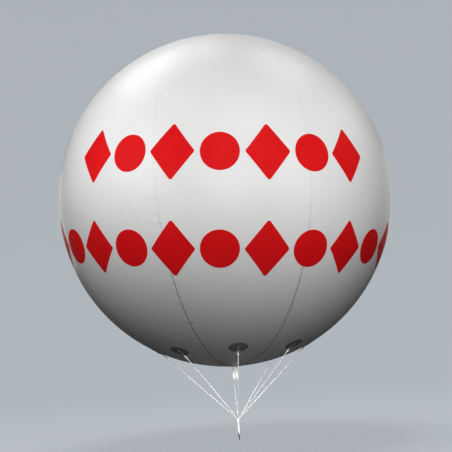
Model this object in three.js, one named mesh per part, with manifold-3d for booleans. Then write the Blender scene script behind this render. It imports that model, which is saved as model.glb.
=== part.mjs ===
import * as THREE from 'three';
import { mergeVertices } from 'three/addons/utils/BufferGeometryUtils.js';
import Module from 'manifold-3d';

// A round helium balloon for advertising, with its bridle and swivel hook.
// Millimetres, +Z up. The origin is the centre of the sphere, and one gore faces -Y.

// Envelope: gores of welded film. Each was cut flat, so its middle lies a little inside the
// sphere and its seams as far outside it: goreFlatness is the difference at the widest place.
const goreCount = 8;
const sphereRadius = 1500;
const wall = 10;
const goreFlatness = 12;
const goreColumns = 6;

// Touching pieces stay this far apart
const gap = 0.3;

// Reinforcing disc on each pole: a flange on the film, and a plug in the hole that the gores leave
const poleFlangeRadius = 78;
const polePlugRadius = 60;
const discThickness = 3;

// Filling neck under the lower pole, tied shut
const tieHeight = -1531;
const tieCordRadius = 2.5;
const tieWaist = 9;

// Mooring points: one on each gore, on a circle round the lower pole
const mooringPolar = THREE.MathUtils.degToRad(26.5);
const patchRadius = 80;
const patchThickness = 2.5;
const strapWidth = 14;
const strapTail = 20;
const strapPly = 2;
const barOffset = 60;
const ringWire = 2.5;
const ringHalfWidth = 10.5;
const ringDepth = 18;
const ringCorner = 2.5;
const eyeRadius = 3.3;

// Bridle cords, gathered in one knot on the axis
const cordRadius = 3;
const hitchRadius = 6;
const knotHeight = -1960;
const knotRadius = 15;
const knotTail = 34;

// Drop line from the knot to the swivel
const lineRadius = 7;
const whippingRadius = 8.5;
const whippingLength = 24;
const lineEnd = -2072;
const lineEyeRadius = 6.5;
const lineEyeHeight = -2076;

// Swivel eye and hook. Heights in the hook are measured from the underside of its collar.
const collarHeight = -2102.4;
const eyeRingRadius = 7;
const eyeRingWire = 2;
const eyeRingRise = 18.2;
const stemRadius = 2.6;
const stemHeadRadius = 5;
const stemHead = { top: -0.4, bottom: -3.2 };
const collarRadius = 7;
const collarDepth = 8;
const boreRadius = 3;
const hookThickness = 6;
const hookBevel = 1.2;
const bowHalfWidth = 7;
const bowWire = 5;
const bowCorner = 4;
const bowSeat = -30;
const noseTop = -23;
const noseLip = { inner: 10.6, top: -20.4 };
const shoulderEnd = -6.5;
const gatePivot = { x: 9.5, y: -9.5 };
const gateEnd = -22.5;
const gatePinRadius = 1.1;
const tongueThickness = 2;

const colours = {
  film: [0xeeeeec, 0.35, 0],
  greyPatch: [0x909090, 0.6, 0],
  webbing: [0xc4c4c0, 0.8, 0],
  steel: [0xb4b6b8, 0.3, 1],
  cord: [0xf2f4f2, 0.8, 0],
  darkSteel: [0x22282c, 0.4, 0.9],
};

const library = await Module();
library.setup();

function material(name) {
  const [color, roughness, metalness] = colours[name];
  return new THREE.MeshStandardMaterial({ color, roughness, metalness });
}

function piece(name, geometry, colour) {
  const mesh = new THREE.Mesh(geometry, material(colour));
  mesh.name = name;
  return mesh;
}

// A geometry as a solid that can be joined and cut
function solid(geometry) {
  const bare = geometry.clone();
  bare.deleteAttribute('normal');
  bare.deleteAttribute('uv');
  const merged = mergeVertices(bare, 1e-4);
  const triangles = [];
  for (let i = 0; i < merged.index.count; i += 3) {
    const corners = [0, 1, 2].map((k) => merged.index.getX(i + k));
    if (new Set(corners).size === 3) triangles.push(...corners);
  }
  const mesh = new library.Mesh({
    numProp: 3,
    vertProperties: new Float32Array(merged.attributes.position.array),
    triVerts: new Uint32Array(triangles),
  });
  return new library.Manifold(mesh);
}

function surface(body) {
  const mesh = body.getMesh();
  const geometry = new THREE.BufferGeometry();
  geometry.setAttribute('position', new THREE.BufferAttribute(new Float32Array(mesh.vertProperties), 3));
  geometry.setIndex(new THREE.BufferAttribute(new Uint32Array(mesh.triVerts), 1));
  return geometry;
}

function join(...geometries) {
  return geometries.map(solid).reduce((all, next) => all.add(next));
}

// A solid of revolution about Z, from pairs of [distance from the axis, height], lowest first
function turned(profile, sides) {
  const points = profile.map(([radius, height]) => new THREE.Vector2(radius, height));
  return new THREE.LatheGeometry(points, sides).rotateX(Math.PI / 2);
}

// A cylinder on the Z axis between two heights
function post(radius, bottom, top, sides = 12) {
  return turned([[0, bottom], [radius, bottom], [radius, top], [0, top]], sides);
}

// A flat outline cut through a plate that is centred on its own plane, with its edges broken
function plate(outline, thickness, bevel = 0, arcSteps = 6) {
  const geometry = new THREE.ExtrudeGeometry(outline, {
    depth: thickness - 2 * bevel,
    steps: 1,
    curveSegments: arcSteps,
    bevelEnabled: bevel > 0,
    bevelThickness: bevel,
    bevelSize: bevel,
    bevelOffset: -bevel,
    bevelSegments: 1,
  });
  return geometry.translate(0, 0, bevel - thickness / 2);
}

// Turns a plate so that its x runs along Y, its y runs up, and it is thick along X
function upright(geometry) {
  return geometry.rotateX(Math.PI / 2).rotateZ(Math.PI / 2);
}

// Outer radius of the envelope, at a polar angle and at an angle from the middle of a gore
function envelopeRadius(polar, fromMiddle) {
  const share = Math.abs(fromMiddle) / (Math.PI / goreCount);
  return sphereRadius - goreFlatness * Math.sin(polar) ** 4 * (0.5 - share ** 2);
}

// Polar angles of a gore's rows of facets. Columns: the angle where a band ends, its rows.
function rowAngles() {
  const hole = Math.asin((polePlugRadius + gap) / sphereRadius);
  const patch = Math.PI - mooringPolar;
  const reach = patchRadius / sphereRadius;
  const bands = [
    [patch - reach, 15],
    [patch + reach, 2],
    [Math.PI - hole, 2],
  ];
  const angles = [hole];
  for (const [end, rows] of bands) {
    const start = angles[angles.length - 1];
    for (let i = 1; i <= rows; i++) {
      angles.push(start + (end - start) * i / rows);
    }
  }
  return angles;
}

// One gore: a shell between two seams, its sides flat against its neighbours
function goreShell() {
  const angles = rowAngles();
  const last = angles.length - 1;
  const positions = [];
  const skins = [0, wall];
  for (const depth of skins) {
    angles.forEach((angle, row) => {
      for (let column = 0; column <= goreColumns; column++) {
        const side = 2 * column / goreColumns - 1;
        const radius = envelopeRadius(angle, side * Math.PI / goreCount) - depth;
        const rim = Math.asin((polePlugRadius + gap) / radius);
        const polar = row === 0 ? rim : row === last ? Math.PI - rim : angle;
        const reach = radius * Math.sin(polar);
        const turn = side * (Math.PI / goreCount - Math.asin(gap / 2 / reach));
        positions.push(reach * Math.sin(turn), -reach * Math.cos(turn), radius * Math.cos(polar));
      }
    });
  }
  const perRow = goreColumns + 1;
  const perSkin = perRow * angles.length;
  const corner = (skin, row, column) => skin * perSkin + row * perRow + column;
  const index = [];
  const quad = (a, b, c, d) => index.push(a, b, c, a, c, d);
  for (let row = 0; row < last; row++) {
    for (let column = 0; column < goreColumns; column++) {
      const square = (skin) => [
        corner(skin, row, column),
        corner(skin, row + 1, column),
        corner(skin, row + 1, column + 1),
        corner(skin, row, column + 1),
      ];
      quad(...square(0));
      quad(...square(1).reverse());
    }
    quad(corner(0, row, 0), corner(1, row, 0), corner(1, row + 1, 0), corner(0, row + 1, 0));
    quad(
      corner(0, row + 1, goreColumns),
      corner(1, row + 1, goreColumns),
      corner(1, row, goreColumns),
      corner(0, row, goreColumns),
    );
  }
  for (let column = 0; column < goreColumns; column++) {
    quad(corner(0, 0, column), corner(0, 0, column + 1), corner(1, 0, column + 1), corner(1, 0, column));
    quad(
      corner(1, last, column),
      corner(1, last, column + 1),
      corner(0, last, column + 1),
      corner(0, last, column),
    );
  }
  const geometry = new THREE.BufferGeometry();
  geometry.setAttribute('position', new THREE.Float32BufferAttribute(positions, 3));
  geometry.setIndex(index);
  return geometry;
}

// Height of a sphere above a level through its centre, at a distance from its axis
function dome(radius, distance) {
  return Math.sqrt(radius ** 2 - distance ** 2);
}

// A disc for the upper pole: the flange lies on the film, and the plug is as deep as the wall
function poleDisc() {
  const under = sphereRadius + gap;
  const over = under + discThickness;
  const bottom = dome(sphereRadius, polePlugRadius) - wall;
  const profile = [
    [0, bottom],
    [polePlugRadius - gap, bottom],
    [polePlugRadius - gap, dome(under, polePlugRadius)],
    [poleFlangeRadius, dome(under, poleFlangeRadius)],
    [poleFlangeRadius, dome(over, poleFlangeRadius)],
    [poleFlangeRadius / 2, dome(over, poleFlangeRadius / 2)],
    [0, over],
  ];
  return turned(profile, 24);
}

// The neck hangs from the lower disc, is gathered at its tie, and flares into a folded tail
function fillingNeck() {
  const top = -(sphereRadius + discThickness + 2 * gap);
  const profile = [
    [0, -1617],
    [8, -1617],
    [20, -1610],
    [28, -1596],
    [30, -1580],
    [26, -1562],
    [18, -1546],
    [tieWaist, tieHeight - 4],
    [tieWaist, tieHeight + 4],
    [16, -1518],
    [18, top],
    [0, top],
  ];
  return turned(profile, 16);
}

function neckTie() {
  const radius = tieWaist + gap + tieCordRadius;
  return new THREE.TorusGeometry(radius, tieCordRadius, 6, 16).translate(0, 0, tieHeight);
}

// From here to mooringPoint, z is the height over the middle of a patch's place on the sphere,
// and the lower pole lies towards -y.
function mooringPatch() {
  const under = sphereRadius + gap;
  const over = under + patchThickness;
  const profile = [
    [0, under],
    [patchRadius / 2, dome(under, patchRadius / 2)],
    [patchRadius, dome(under, patchRadius)],
    [patchRadius, dome(over, patchRadius)],
    [patchRadius / 2, dome(over, patchRadius / 2)],
    [0, over],
  ];
  return turned(profile, 20).translate(0, 0, -sphereRadius);
}

const strapLoop = eyeRadius + strapPly;
const strapBase = patchThickness + 2 * gap;
const barHeight = strapBase + strapLoop;

// Side view of the strap: two plies on the patch, opened into a loop round the ring's bar
function mooringStrap() {
  const top = strapBase + 2 * strapPly;
  const lean = Math.asin((barHeight - top) / strapLoop);
  const outline = new THREE.Shape();
  outline.moveTo(strapTail, strapBase);
  outline.lineTo(strapTail, top);
  outline.lineTo(strapLoop * Math.cos(lean) - barOffset, top);
  outline.absarc(-barOffset, barHeight, strapLoop, -lean, 1.5 * Math.PI, false);
  outline.closePath();
  const hole = new THREE.Path();
  hole.absarc(-barOffset, barHeight, eyeRadius, 0, 2 * Math.PI, true);
  outline.holes.push(hole);
  return upright(plate(outline, strapWidth));
}

// The ring is a D with its straight bar along x and its round side towards -y. Its outline lies
// at an offset from the middle of the wire.
function ringOutline(offset) {
  const half = ringHalfWidth + offset;
  const corner = ringCorner + (2 - Math.SQRT2) * offset;
  const round = ringHalfWidth - ringDepth;
  const outline = new THREE.Shape();
  outline.moveTo(half, round);
  outline.lineTo(half, offset - corner);
  outline.lineTo(half - corner, offset);
  outline.lineTo(corner - half, offset);
  outline.lineTo(-half, offset - corner);
  outline.absarc(0, round, half, Math.PI, 2 * Math.PI, false);
  return outline;
}

function mooringRing() {
  const outline = ringOutline(ringWire);
  outline.holes.push(ringOutline(-ringWire));
  const breakEdge = ringWire * (1 - Math.tan(Math.PI / 8));
  return plate(outline, 2 * ringWire, breakEdge, 8);
}

// A bridle cord runs towards -y from its loop round the ring. Its other end stops at the knot.
function bridleCord(length) {
  const loop = new THREE.TorusGeometry(eyeRadius + cordRadius, cordRadius, 6, 12);
  const hitch = new THREE.SphereGeometry(hitchRadius, 8, 5).scale(1, 1.4, 1);
  const hitchPlace = 2 * hitchRadius;
  const run = new THREE.CylinderGeometry(cordRadius, cordRadius, length - hitchPlace, 8);
  return surface(join(
    loop.rotateY(Math.PI / 2),
    hitch.translate(0, -hitchPlace, 0),
    run.translate(0, -(length + hitchPlace) / 2, 0),
  ));
}

// Everything that is fixed to one gore, in a group that stands on the sphere
function mooringPoint(number) {
  const group = new THREE.Group();
  group.rotation.x = Math.PI - mooringPolar;
  group.position.set(0, -sphereRadius * Math.sin(mooringPolar), -sphereRadius * Math.cos(mooringPolar));
  group.add(piece(`mooring_patch_${number}`, mooringPatch(), 'greyPatch'));
  group.add(piece(`mooring_strap_${number}`, mooringStrap(), 'webbing'));

  const toKnot = {
    y: knotHeight * Math.sin(mooringPolar) + barOffset,
    z: -knotHeight * Math.cos(mooringPolar) - sphereRadius - barHeight,
  };
  const pulled = new THREE.Group();
  pulled.position.set(0, -barOffset, barHeight);
  pulled.rotation.x = -Math.atan2(toKnot.z, -toKnot.y);
  pulled.add(piece(`mooring_ring_${number}`, mooringRing(), 'steel'));

  const reach = Math.hypot(toKnot.y, toKnot.z);
  const cord = piece(`bridle_cord_${number}`, bridleCord(reach - ringDepth - knotRadius - gap), 'cord');
  cord.position.y = -ringDepth;
  pulled.add(cord);
  group.add(pulled);
  return group;
}

function gatheringKnot() {
  const profile = [
    [0, -knotTail],
    [8, -knotTail],
    [9, -0.6 * knotTail],
    [12, -12],
    [14.5, -6],
    [knotRadius, 0],
    [knotRadius * Math.cos(Math.PI / 6), knotRadius * Math.sin(Math.PI / 6)],
    [knotRadius * Math.cos(Math.PI / 3), knotRadius * Math.sin(Math.PI / 3)],
    [0, knotRadius],
  ];
  return turned(profile, 16).translate(0, 0, knotHeight);
}

// The drop line ends in a whipping and a small eye that hangs the swivel
function dropLine() {
  const top = knotHeight - knotTail - gap;
  const eye = new THREE.TorusGeometry(lineEyeRadius, cordRadius, 6, 14);
  return surface(join(
    post(lineRadius, lineEnd, top),
    post(whippingRadius, lineEnd, lineEnd + whippingLength),
    eye.rotateY(Math.PI / 2).translate(0, 0, lineEyeHeight),
  ));
}

// Ring, shank and headed stem of the swivel, in one forging
function swivelEye() {
  const ring = new THREE.TorusGeometry(eyeRingRadius, eyeRingWire, 8, 16);
  const shank = post(stemHeadRadius, collarDepth + gap, eyeRingRise - eyeRingRadius);
  const stem = post(stemRadius, stemHead.bottom, collarDepth + 1);
  const head = post(stemHeadRadius, stemHead.bottom, stemHead.top);
  const body = join(ring.rotateX(Math.PI / 2).translate(0, 0, eyeRingRise), shank, stem, head);
  return surface(body).translate(0, 0, collarHeight);
}

// Outline of the hook: a bow that is open on one side, from its shoulder round to its nose
function hookOutline() {
  const outside = bowHalfWidth + bowWire;
  const cornerX = bowHalfWidth - bowCorner;
  const cornerY = bowSeat + bowCorner;
  const outline = new THREE.Shape();
  outline.moveTo(bowHalfWidth, shoulderEnd);
  outline.lineTo(bowHalfWidth, -5);
  outline.lineTo(bowHalfWidth - 1, 0);
  outline.lineTo(1 - bowHalfWidth, 0);
  outline.lineTo(-bowHalfWidth, -5);
  outline.lineTo(-bowHalfWidth, cornerY);
  outline.absarc(-cornerX, cornerY, bowCorner, Math.PI, 1.5 * Math.PI, false);
  outline.lineTo(cornerX, bowSeat);
  outline.absarc(cornerX, cornerY, bowCorner, 1.5 * Math.PI, 2 * Math.PI, false);
  outline.lineTo(bowHalfWidth, noseTop);
  outline.lineTo(outside, noseTop);
  outline.lineTo(outside, cornerY);
  outline.absarc(cornerX, cornerY, bowCorner + bowWire, 2 * Math.PI, 1.5 * Math.PI, true);
  outline.lineTo(-cornerX, bowSeat - bowWire);
  outline.absarc(-cornerX, cornerY, bowCorner + bowWire, 1.5 * Math.PI, Math.PI, true);
  outline.lineTo(-outside, -2);
  outline.lineTo(-collarRadius, collarDepth - 1);
  outline.lineTo(collarRadius, collarDepth - 1);
  outline.lineTo(outside, -2);
  outline.lineTo(outside, shoulderEnd);
  outline.closePath();
  return outline;
}

// The shoulder ends in a thin tongue with a hole, which the gate's pin passes through
function hookTongue() {
  const { x, y } = gatePivot;
  const radius = bowWire / 2;
  const outline = new THREE.Shape();
  outline.moveTo(x + radius, shoulderEnd + 1);
  outline.lineTo(x - radius, shoulderEnd + 1);
  outline.lineTo(x - radius, y);
  outline.absarc(x, y, radius, Math.PI, 2 * Math.PI, false);
  outline.closePath();
  const hole = new THREE.Path();
  hole.absarc(x, y, gatePinRadius + gap + 0.1, 0, 2 * Math.PI, true);
  outline.holes.push(hole);
  return plate(outline, tongueThickness);
}

// A low lip on the outer side of the nose stops the gate from swinging out
function hookLip() {
  const outside = bowHalfWidth + bowWire;
  const bottom = noseTop - hookBevel;
  const lip = new THREE.BoxGeometry(outside - noseLip.inner, noseLip.top - bottom, hookThickness - 2 * hookBevel);
  return lip.translate((outside + noseLip.inner) / 2, (noseLip.top + bottom) / 2, 0);
}

function hookBody() {
  const bow = join(
    upright(plate(hookOutline(), hookThickness, hookBevel, 5)),
    upright(hookLip()),
    upright(hookTongue()),
    post(collarRadius, 0, collarDepth, 16),
  );
  const bore = solid(post(boreRadius, -1, collarDepth + 1, 16));
  return surface(bow.subtract(bore)).translate(0, 0, collarHeight);
}

// The gate is forked over the tongue, and its free end rests against the lip of the nose
function hookGate() {
  const { x, y } = gatePivot;
  const radius = bowWire / 2;
  const notch = { x: noseLip.inner - gap - 0.1, y: noseLip.top + 0.8 };
  const outline = new THREE.Shape();
  outline.absarc(x, y, radius, 0, Math.PI, false);
  outline.lineTo(x - radius, gateEnd);
  outline.lineTo(notch.x, gateEnd);
  outline.lineTo(notch.x, notch.y);
  outline.lineTo(x + radius, notch.y);
  outline.closePath();
  const slotThickness = tongueThickness + 2 * gap;
  const slot = new THREE.BoxGeometry(4 * radius, 3.2 * radius, slotThickness);
  const pin = new THREE.CylinderGeometry(gatePinRadius, gatePinRadius, hookThickness - 1, 10);
  const forked = solid(plate(outline, hookThickness - 0.6, 0.5))
    .subtract(solid(slot.translate(x, y, 0)))
    .add(solid(pin.rotateX(Math.PI / 2).translate(x, y, 0)));
  return upright(surface(forked)).translate(0, 0, collarHeight);
}

const group = new THREE.Group();

// One gore and its mooring point, turned round the axis
for (let i = 0; i < goreCount; i++) {
  const sector = new THREE.Group();
  sector.rotation.z = i * 2 * Math.PI / goreCount;
  sector.add(piece(`gore_${i + 1}`, goreShell(), 'film'));
  sector.add(mooringPoint(i + 1));
  group.add(sector);
}

const topDisc = piece('top_pole_disc', poleDisc(), 'film');
const bottomDisc = piece('bottom_pole_disc', poleDisc(), 'greyPatch');
bottomDisc.rotation.x = Math.PI;
group.add(topDisc, bottomDisc);

group.add(piece('filling_neck', fillingNeck(), 'film'));
group.add(piece('neck_tie', neckTie(), 'cord'));
group.add(piece('gathering_knot', gatheringKnot(), 'cord'));
group.add(piece('drop_line', dropLine(), 'cord'));
group.add(piece('swivel_eye', swivelEye(), 'steel'));
group.add(piece('hook', hookBody(), 'darkSteel'));
group.add(piece('hook_gate', hookGate(), 'darkSteel'));

export default group;
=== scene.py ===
import math

import bmesh
import bpy
import numpy as np
from mathutils import Matrix, Vector


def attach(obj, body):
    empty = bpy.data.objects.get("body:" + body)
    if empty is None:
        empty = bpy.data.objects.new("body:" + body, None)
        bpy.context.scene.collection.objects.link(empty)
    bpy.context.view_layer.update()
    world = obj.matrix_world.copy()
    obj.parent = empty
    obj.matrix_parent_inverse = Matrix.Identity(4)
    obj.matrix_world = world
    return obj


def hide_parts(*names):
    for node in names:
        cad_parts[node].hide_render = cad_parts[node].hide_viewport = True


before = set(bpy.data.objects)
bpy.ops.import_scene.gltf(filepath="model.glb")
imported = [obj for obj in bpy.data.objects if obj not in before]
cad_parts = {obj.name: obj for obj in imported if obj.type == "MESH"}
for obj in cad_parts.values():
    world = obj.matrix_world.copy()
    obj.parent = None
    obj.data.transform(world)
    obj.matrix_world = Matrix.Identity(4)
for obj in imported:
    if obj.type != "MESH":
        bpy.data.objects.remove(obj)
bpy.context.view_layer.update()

MM = 0.001

# Envelope, with the sizes of the solid model
GORE_COUNT = 8
GORE_ANGLE = 2 * math.pi / GORE_COUNT
HALF_GORE = GORE_ANGLE / 2
SPHERE_RADIUS = 1500 * MM
GORE_FLATNESS = 12 * MM
POLE_FLANGE = 78 * MM
POLE_HOLE = 60 * MM
DISC_THICKNESS = 3 * MM
SEAT_GAP = 0.3 * MM

# Film: rows from pole to pole, columns across a gore, and the depth of its closed skin
GORE_ROWS = 360
GORE_COLUMNS = 30
COLUMN_CROWDING = 1.8
FILM_DEPTH = 2 * MM
SEAM_CLEARANCE = 0.1 * MM

# Puckers that cross each seam. Columns: wavelength in metres, share of the height, shift.
RIPPLES = [(0.066, 0.45, 1.7), (0.094, 0.35, 2.9), (0.171, 0.20, 4.1)]
PUCKER_HEIGHT = 1.3 * MM
PUCKER_REACH = 60 * MM
PUCKER_SLANT = 0.35

# Gathers where the seams meet at the poles
GATHER_HEIGHT = 2.0 * MM
GATHER_FOLDS = 29
GATHER_REACH = 110 * MM

# Creases beside each seam. Columns: polar angle in degrees, offset from the seam in metres,
# half length in metres, lean from the seam in degrees, depth in metres.
CREASES = [
    (14, 0.030, 0.060, 28, 0.0030),
    (25, 0.022, 0.080, 18, 0.0026),
    (41, -0.028, 0.060, -24, 0.0040),
    (69, -0.018, 0.045, -10, 0.0026),
    (139, 0.030, 0.060, 22, 0.0016),
    (158, -0.026, 0.070, -26, 0.0022),
]
CREASE_WIDTH = 13 * MM
CREASE_SCATTER = 40 * MM

# Weld strip over each seam, from its edge to its middle. Columns: distance from the middle and
# height over the film, in millimetres.
WELD_HALF = [(-6.5, -0.4), (-6.2, 0.35), (-4.8, 0.70), (-3.4, 0.40), (0.0, 0.50)]
WELD_PROFILE = WELD_HALF + [(-across, height) for across, height in WELD_HALF[-2::-1]]
WELD_DEPTH = 0.9 * MM
WELD_GROOVE = 1.2 * MM
WELD_GROOVE_REACH = 22 * MM

# Print: rows of lozenges and discs, level as the camera sees them
PRINT_PROUD = 1.3 * MM
PRINT_DEPTH = 0.8 * MM
PRINT_PITCH = math.radians(13.9)
PRINT_SHIFT = math.radians(-1.4)
LOZENGE_HALF_HEIGHT = 222 * MM
LOZENGE_HALF_WIDTH = 172 * MM
LOZENGE_ROUNDING = 16 * MM
SPOT_RADIUS = 146 * MM
# Columns: row, angle over the camera's line of sight in degrees, number of motifs.
PRINT_ROWS = [("upper", 12.3, 7), ("lower", -15.3, 11)]

# Mooring points
MOORING_POLAR = math.radians(26.5)
PATCH_RADIUS = 80 * MM
PATCH_THICKNESS = 2.5 * MM
DISC_SIDES = 144
RIM_DIMPLES = 36
STRAP_WIDTH = 14 * MM
STRAP_PLY = 2 * MM
PRESSED_PLY = 0.85 * STRAP_PLY
STRAP_TAIL = 20 * MM
BAR_OFFSET = 60 * MM
BAR_HEIGHT = 8.4 * MM
RING_WIRE = 2.5 * MM
RING_HALF_WIDTH = 10.5 * MM
RING_DEPTH = 18 * MM
RING_CORNER = 4 * MM
EYE_RADIUS = 3.3 * MM

# Bridle, knot and drop line
CORD_RADIUS = 3 * MM
CORD_STRANDS = 3
CORD_LAY = 19 * MM
CORD_STEP = 1.6 * MM
HITCH_PLACE = 12 * MM
KNOT_HEIGHT = -1960 * MM
KNOT_RADIUS = 15 * MM
KNOT_TAIL = 34 * MM
LINE_RADIUS = 7 * MM
LINE_END = -2072 * MM
LINE_EYE_HEIGHT = -2076 * MM
LINE_EYE_RADIUS = 6.5 * MM
WHIPPING_LENGTH = 24 * MM
WHIPPING_THREAD = 0.95 * MM

# Filling neck
TIE_HEIGHT = -1531 * MM
NECK_PLEATS = 11

# Swivel and hook, with heights from the underside of the collar
COLLAR_HEIGHT = -2102.4 * MM
COLLAR_RADIUS = 7 * MM
COLLAR_DEPTH = 8 * MM
COLLAR_FACE_RADIUS = 6.4 * MM
COLLAR_EDGE = 0.7 * MM
BORE_RADIUS = 3 * MM
EYE_RING_RADIUS = 7 * MM
EYE_RING_WIRE = 2 * MM
EYE_RING_RISE = 18.2 * MM
BOW_SIDE = 9.5 * MM
BOW_CORNER = 6.5 * MM
BOW_BOTTOM = -32.5 * MM
BOW_WIDTH = 5 * MM
BOW_THICKNESS = 6 * MM
NOSE_TOP = -23 * MM
SHOULDER_END = -6.5 * MM
GATE_PIVOT = -9.5 * MM
GATE_END = -22.5 * MM
TONGUE_THICKNESS = 2 * MM

# Camera, as the photograph was taken: it looks up at the sphere from a little above the floor
CAMERA_PLACE = Vector((-0.3427, -6.5297, -1.3928))
CAMERA_AIM = Vector((0.05089, 0.98328, 0.17486))
CAMERA_ROLL = math.radians(-3.473)
CAMERA_LENS = 57.49
SENSOR_WIDTH = 36

# Studio
FLOOR_HEIGHT = -2.19
FLOOR_RADIUS = 9.0
COVE_RADIUS = 10.0
WALL_HEIGHT = 22.0
FLOOR_GLOW = 0.68
SKY_COLOUR = (1.0, 1.0, 1.0)
SKY_STRENGTH = 0.045

# Lamps: soft discs aimed at the middle of the balloon, half as wide as they are far. Columns:
# name, angle from the front towards the right and angle over the horizon in degrees, distance
# in metres, strength, which the distance doesn't change.
LAMP_SPREAD = 0.5
LAMPS = [
    ("front", 0, 0, 5.0, 0.63),
    ("left", -45, 10, 3.2, 0.56),
    ("right", 30, 0, 3.2, 0.31),
    ("side_right", 75, 30, 3.2, 0.15),
    ("top_left", -60, 78, 3.2, 0.27),
    ("high_left", -75, 60, 3.2, 0.53),
    ("high_right", 60, 60, 3.2, 0.34),
    ("high_front", 15, 40, 14.0, 0.40),
    ("back_left", -133, 5, 3.8, 0.18),
    ("back_right", 125, 5, 3.8, 0.18),
    ("back", 180, 14, 14.0, 0.50),
]
# The same for the lamps of the bridle alone, low enough to reach its cords under the balloon
BRIDLE_LAMPS = [
    ("bridle_left", -60, 8, 14.0, 1.6),
    ("bridle_right", 60, 8, 14.0, 1.6),
    ("bridle_front", 0, 10, 14.0, 2.8),
    ("bridle_back", 180, 10, 14.0, 2.4),
]
BRIDLE_PIECES = ("cord_", "knot_", "line_")
# The same for the lamps of the neck alone, which the balloon would shade
NECK_LAMPS = [
    ("neck_left", -25, 0, 14.0, 1.7),
    ("neck_right", 35, 0, 14.0, 1.4),
]
NECK_PIECES = ("neck_",)
# The same for the lamp of the stage alone
STAGE_LAMP = ("stage", -20, 80, 14.0, 0.48)

# Angles in degrees from which an edge shows as sharp: on metal and sheets, on pleats, on fibres
SHARP_ANGLE = 40
PLEAT_ANGLE = 75
FIBRE_ANGLE = 80


def smooth_step(share):
    share = np.clip(share, 0, 1)
    return share * share * (3 - 2 * share)


# Meshes are gathered as parts: pairs of points and faces. A part may carry a place on its own
# flat pattern for each point, which its material reads.

def merged(parts):
    points, faces, places = [], [], []
    start = 0
    for part_points, part_faces, *part_places in parts:
        points.append(part_points)
        places.extend(part_places or [np.zeros((len(part_points), 3))])
        faces.extend([tuple(start + i for i in face) for face in part_faces])
        start += len(part_points)
    return np.concatenate(points), faces, np.concatenate(places)


def new_object(name, points, faces, material):
    """A smooth mesh with one material, in the scene."""
    mesh = bpy.data.meshes.new(name)
    mesh.from_pydata(points.tolist(), [], faces)
    mesh.polygons.foreach_set("use_smooth", [True] * len(mesh.polygons))
    mesh.materials.append(material)
    thing = bpy.data.objects.new(name, mesh)
    bpy.context.scene.collection.objects.link(thing)
    return thing


def make_piece(name, parts, look, stands_for=(), body="envelope", sharp=SHARP_ANGLE):
    """A shown piece from closed parts, riding on a body. Its look is a material and its slot, and the slot
    is not used.
    """
    material, slot = look
    points, faces, places = merged(parts)
    piece = new_object(name, points, faces, material)
    mesh = piece.data
    place = mesh.attributes.new("place", "FLOAT_VECTOR", "POINT")
    place.data.foreach_set("vector", places.astype(np.float32).ravel())
    work = bmesh.new()
    work.from_mesh(mesh)
    bmesh.ops.recalc_face_normals(work, faces=work.faces)
    work.to_mesh(mesh)
    work.free()
    mesh.set_sharp_from_angle(angle=math.radians(sharp))
    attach(piece, body)
    if stands_for:
        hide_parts(*stands_for)


def grid_faces(rows, columns, start=0, around=False):
    """Quads over a grid of points, closed round its columns if around is true."""
    faces = []
    for row in range(rows - 1):
        for column in range(columns if around else columns - 1):
            after = (column + 1) % columns
            a = start + row * columns + column
            b = start + row * columns + after
            faces.append((a, b, b + columns, a + columns))
    return faces


def tube_faces(rows, columns, looped=False):
    """Faces of a tube of rings of points, with its ends closed, or joined to each other."""
    count = rows * columns
    if looped:
        return [tuple(i % count for i in face) for face in grid_faces(rows + 1, columns, around=True)]
    ends = [tuple(range(start, start + columns)) for start in (0, count - columns)]
    return grid_faces(rows, columns, around=True) + ends


def closed_sheet(outer, inner, places=None):
    """A closed part from two skins, each an array of rows by columns of points."""
    rows, columns = outer.shape[:2]
    count = rows * columns
    faces = grid_faces(rows, columns) + grid_faces(rows, columns, count)
    numbers = np.arange(count).reshape(rows, columns)
    sides = (numbers[0], numbers[1:, -1], numbers[-1, -2::-1], numbers[-2:0:-1, 0])
    rim = np.concatenate(sides).tolist()
    for a, b in zip(rim, rim[1:] + rim[:1]):
        faces.append((a, b, b + count, a + count))
    points = np.concatenate([outer.reshape(-1, 3), inner.reshape(-1, 3)])
    if places is None:
        return points, faces
    flat = places.reshape(-1, 3)
    return points, faces, np.concatenate([flat, flat])


def turned(profile, sides=48):
    """A part of revolution about Z from (radius, height) pairs. A pair on the axis is one point."""
    points, rings, faces = [], [], []
    angles = [2 * math.pi * side / sides for side in range(sides)]
    for radius, height in profile:
        start = len(points)
        if radius == 0:
            points.append((0.0, 0.0, height))
            rings.append([start] * sides)
        else:
            points += [(radius * math.cos(a), radius * math.sin(a), height) for a in angles]
            rings.append(range(start, start + sides))
    for low, high in zip(rings, rings[1:]):
        for side in range(sides):
            after = (side + 1) % sides
            corners = dict.fromkeys((low[side], low[after], high[after], high[side]))
            if len(corners) > 2:
                faces.append(tuple(corners))
    return np.array(points), faces


def placed(part, matrix):
    """A part moved by a matrix."""
    rotation = np.array(matrix.to_3x3())
    shift = np.array(matrix.translation)
    return (part[0] @ rotation.T + shift, *part[1:])


# Sections of swept parts: each gives, for distances along the path, points across it

def ring_angles(sides):
    return np.linspace(0, 2 * np.pi, sides, endpoint=False)


def round_section(radius, sides):
    angles = ring_angles(sides)
    ring = radius * np.stack([np.cos(angles), np.sin(angles)], -1)
    return lambda along: np.broadcast_to(ring, (len(along), sides, 2))


def laid_section(radius, strands, lay, sides, groove=0.12):
    """Strands laid round each other, one turn in each lay."""
    angles = ring_angles(sides)

    def section(along):
        turn = 2 * np.pi * along[:, None] / lay
        reach = radius * (1 - groove + groove * np.cos(strands * (angles[None] - turn)))
        return np.stack([reach * np.cos(angles), reach * np.sin(angles)], -1)

    return section


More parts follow.
